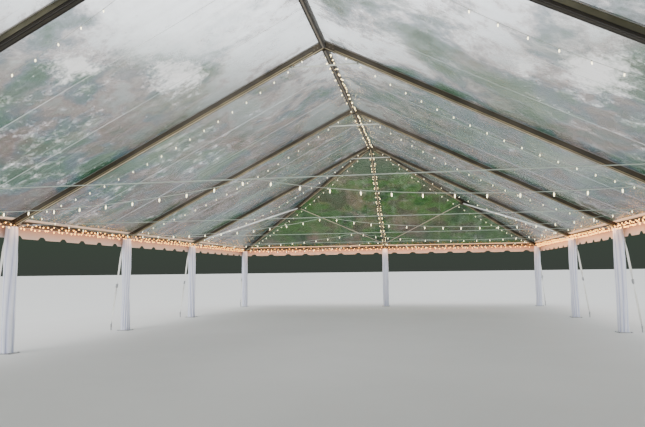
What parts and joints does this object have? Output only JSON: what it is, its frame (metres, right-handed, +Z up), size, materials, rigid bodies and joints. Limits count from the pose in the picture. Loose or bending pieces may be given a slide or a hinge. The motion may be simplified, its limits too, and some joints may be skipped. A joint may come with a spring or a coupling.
{
  "type": "frame marquee tent with clear hipped roof",
  "caption": "Open-sided aluminium frame marquee with a clear vinyl hipped roof, scalloped valance, covered legs, guy straps and strings of warm lights.",
  "frame": {"origin": "on the floor, at the centre of the plan", "axes": "+Z up, +Y along the ridge towards the back end, +X to the right seen from the front end"},
  "size_m": [13.0414, 26.76, 5.6021],
  "materials": {
    "aluminium": "weathered mill-finish box extrusion, brownish in the shade",
    "clear_vinyl": "clear plasticised vinyl sheet, slightly hazy, with welded seams",
    "white_vinyl": "white translucent coated vinyl, satin",
    "cover_fabric": "white gathered polyester leg covers",
    "webbing": "pale woven polyester strap",
    "string_wire": "pale insulated light cord"
  },
  "bodies": {
    "root": {"main_frame_1": "aluminium", "main_frame_2": "aluminium", "main_frame_3": "aluminium", "main_frame_4": "aluminium", "hip_frame_front": "aluminium", "hip_frame_back": "aluminium", "ridge_beam_1": "aluminium", "ridge_beam_2": "aluminium", "ridge_beam_3": "aluminium", "eave_beam_left": "aluminium", "eave_beam_right": "aluminium", "eave_beam_front": "aluminium", "eave_beam_back": "aluminium", "roof_left_1": "clear_vinyl", "roof_left_2": "clear_vinyl", "roof_left_3": "clear_vinyl", "roof_right_1": "clear_vinyl", "roof_right_2": "clear_vinyl", "roof_right_3": "clear_vinyl", "roof_front_left": "clear_vinyl", "roof_front_right": "clear_vinyl", "roof_front_end": "clear_vinyl", "roof_back_left": "clear_vinyl", "roof_back_right": "clear_vinyl", "roof_back_end": "clear_vinyl", "valance_left": "white_vinyl", "valance_right": "white_vinyl", "valance_front": "white_vinyl", "valance_back": "white_vinyl", "leg_left_1": "cover_fabric", "leg_left_2": "cover_fabric", "leg_left_3": "cover_fabric", "leg_left_4": "cover_fabric", "leg_left_5": "cover_fabric", "leg_left_6": "cover_fabric", "leg_right_1": "cover_fabric", "leg_right_2": "cover_fabric", "leg_right_3": "cover_fabric", "leg_right_4": "cover_fabric", "leg_right_5": "cover_fabric", "leg_right_6": "cover_fabric", "leg_front": "cover_fabric", "leg_back": "cover_fabric", "guy_left_1": "webbing", "guy_left_2": "webbing", "guy_left_3": "webbing", "guy_left_4": "webbing", "guy_left_5": "webbing", "guy_left_6": "webbing", "guy_right_1": "webbing", "guy_right_2": "webbing", "guy_right_3": "webbing", "guy_right_4": "webbing", "guy_right_5": "webbing", "guy_right_6": "webbing", "guy_front": "webbing", "guy_back": "webbing", "light_string_near": "string_wire", "light_string_far": "string_wire"}
  },
  "joints": []
}
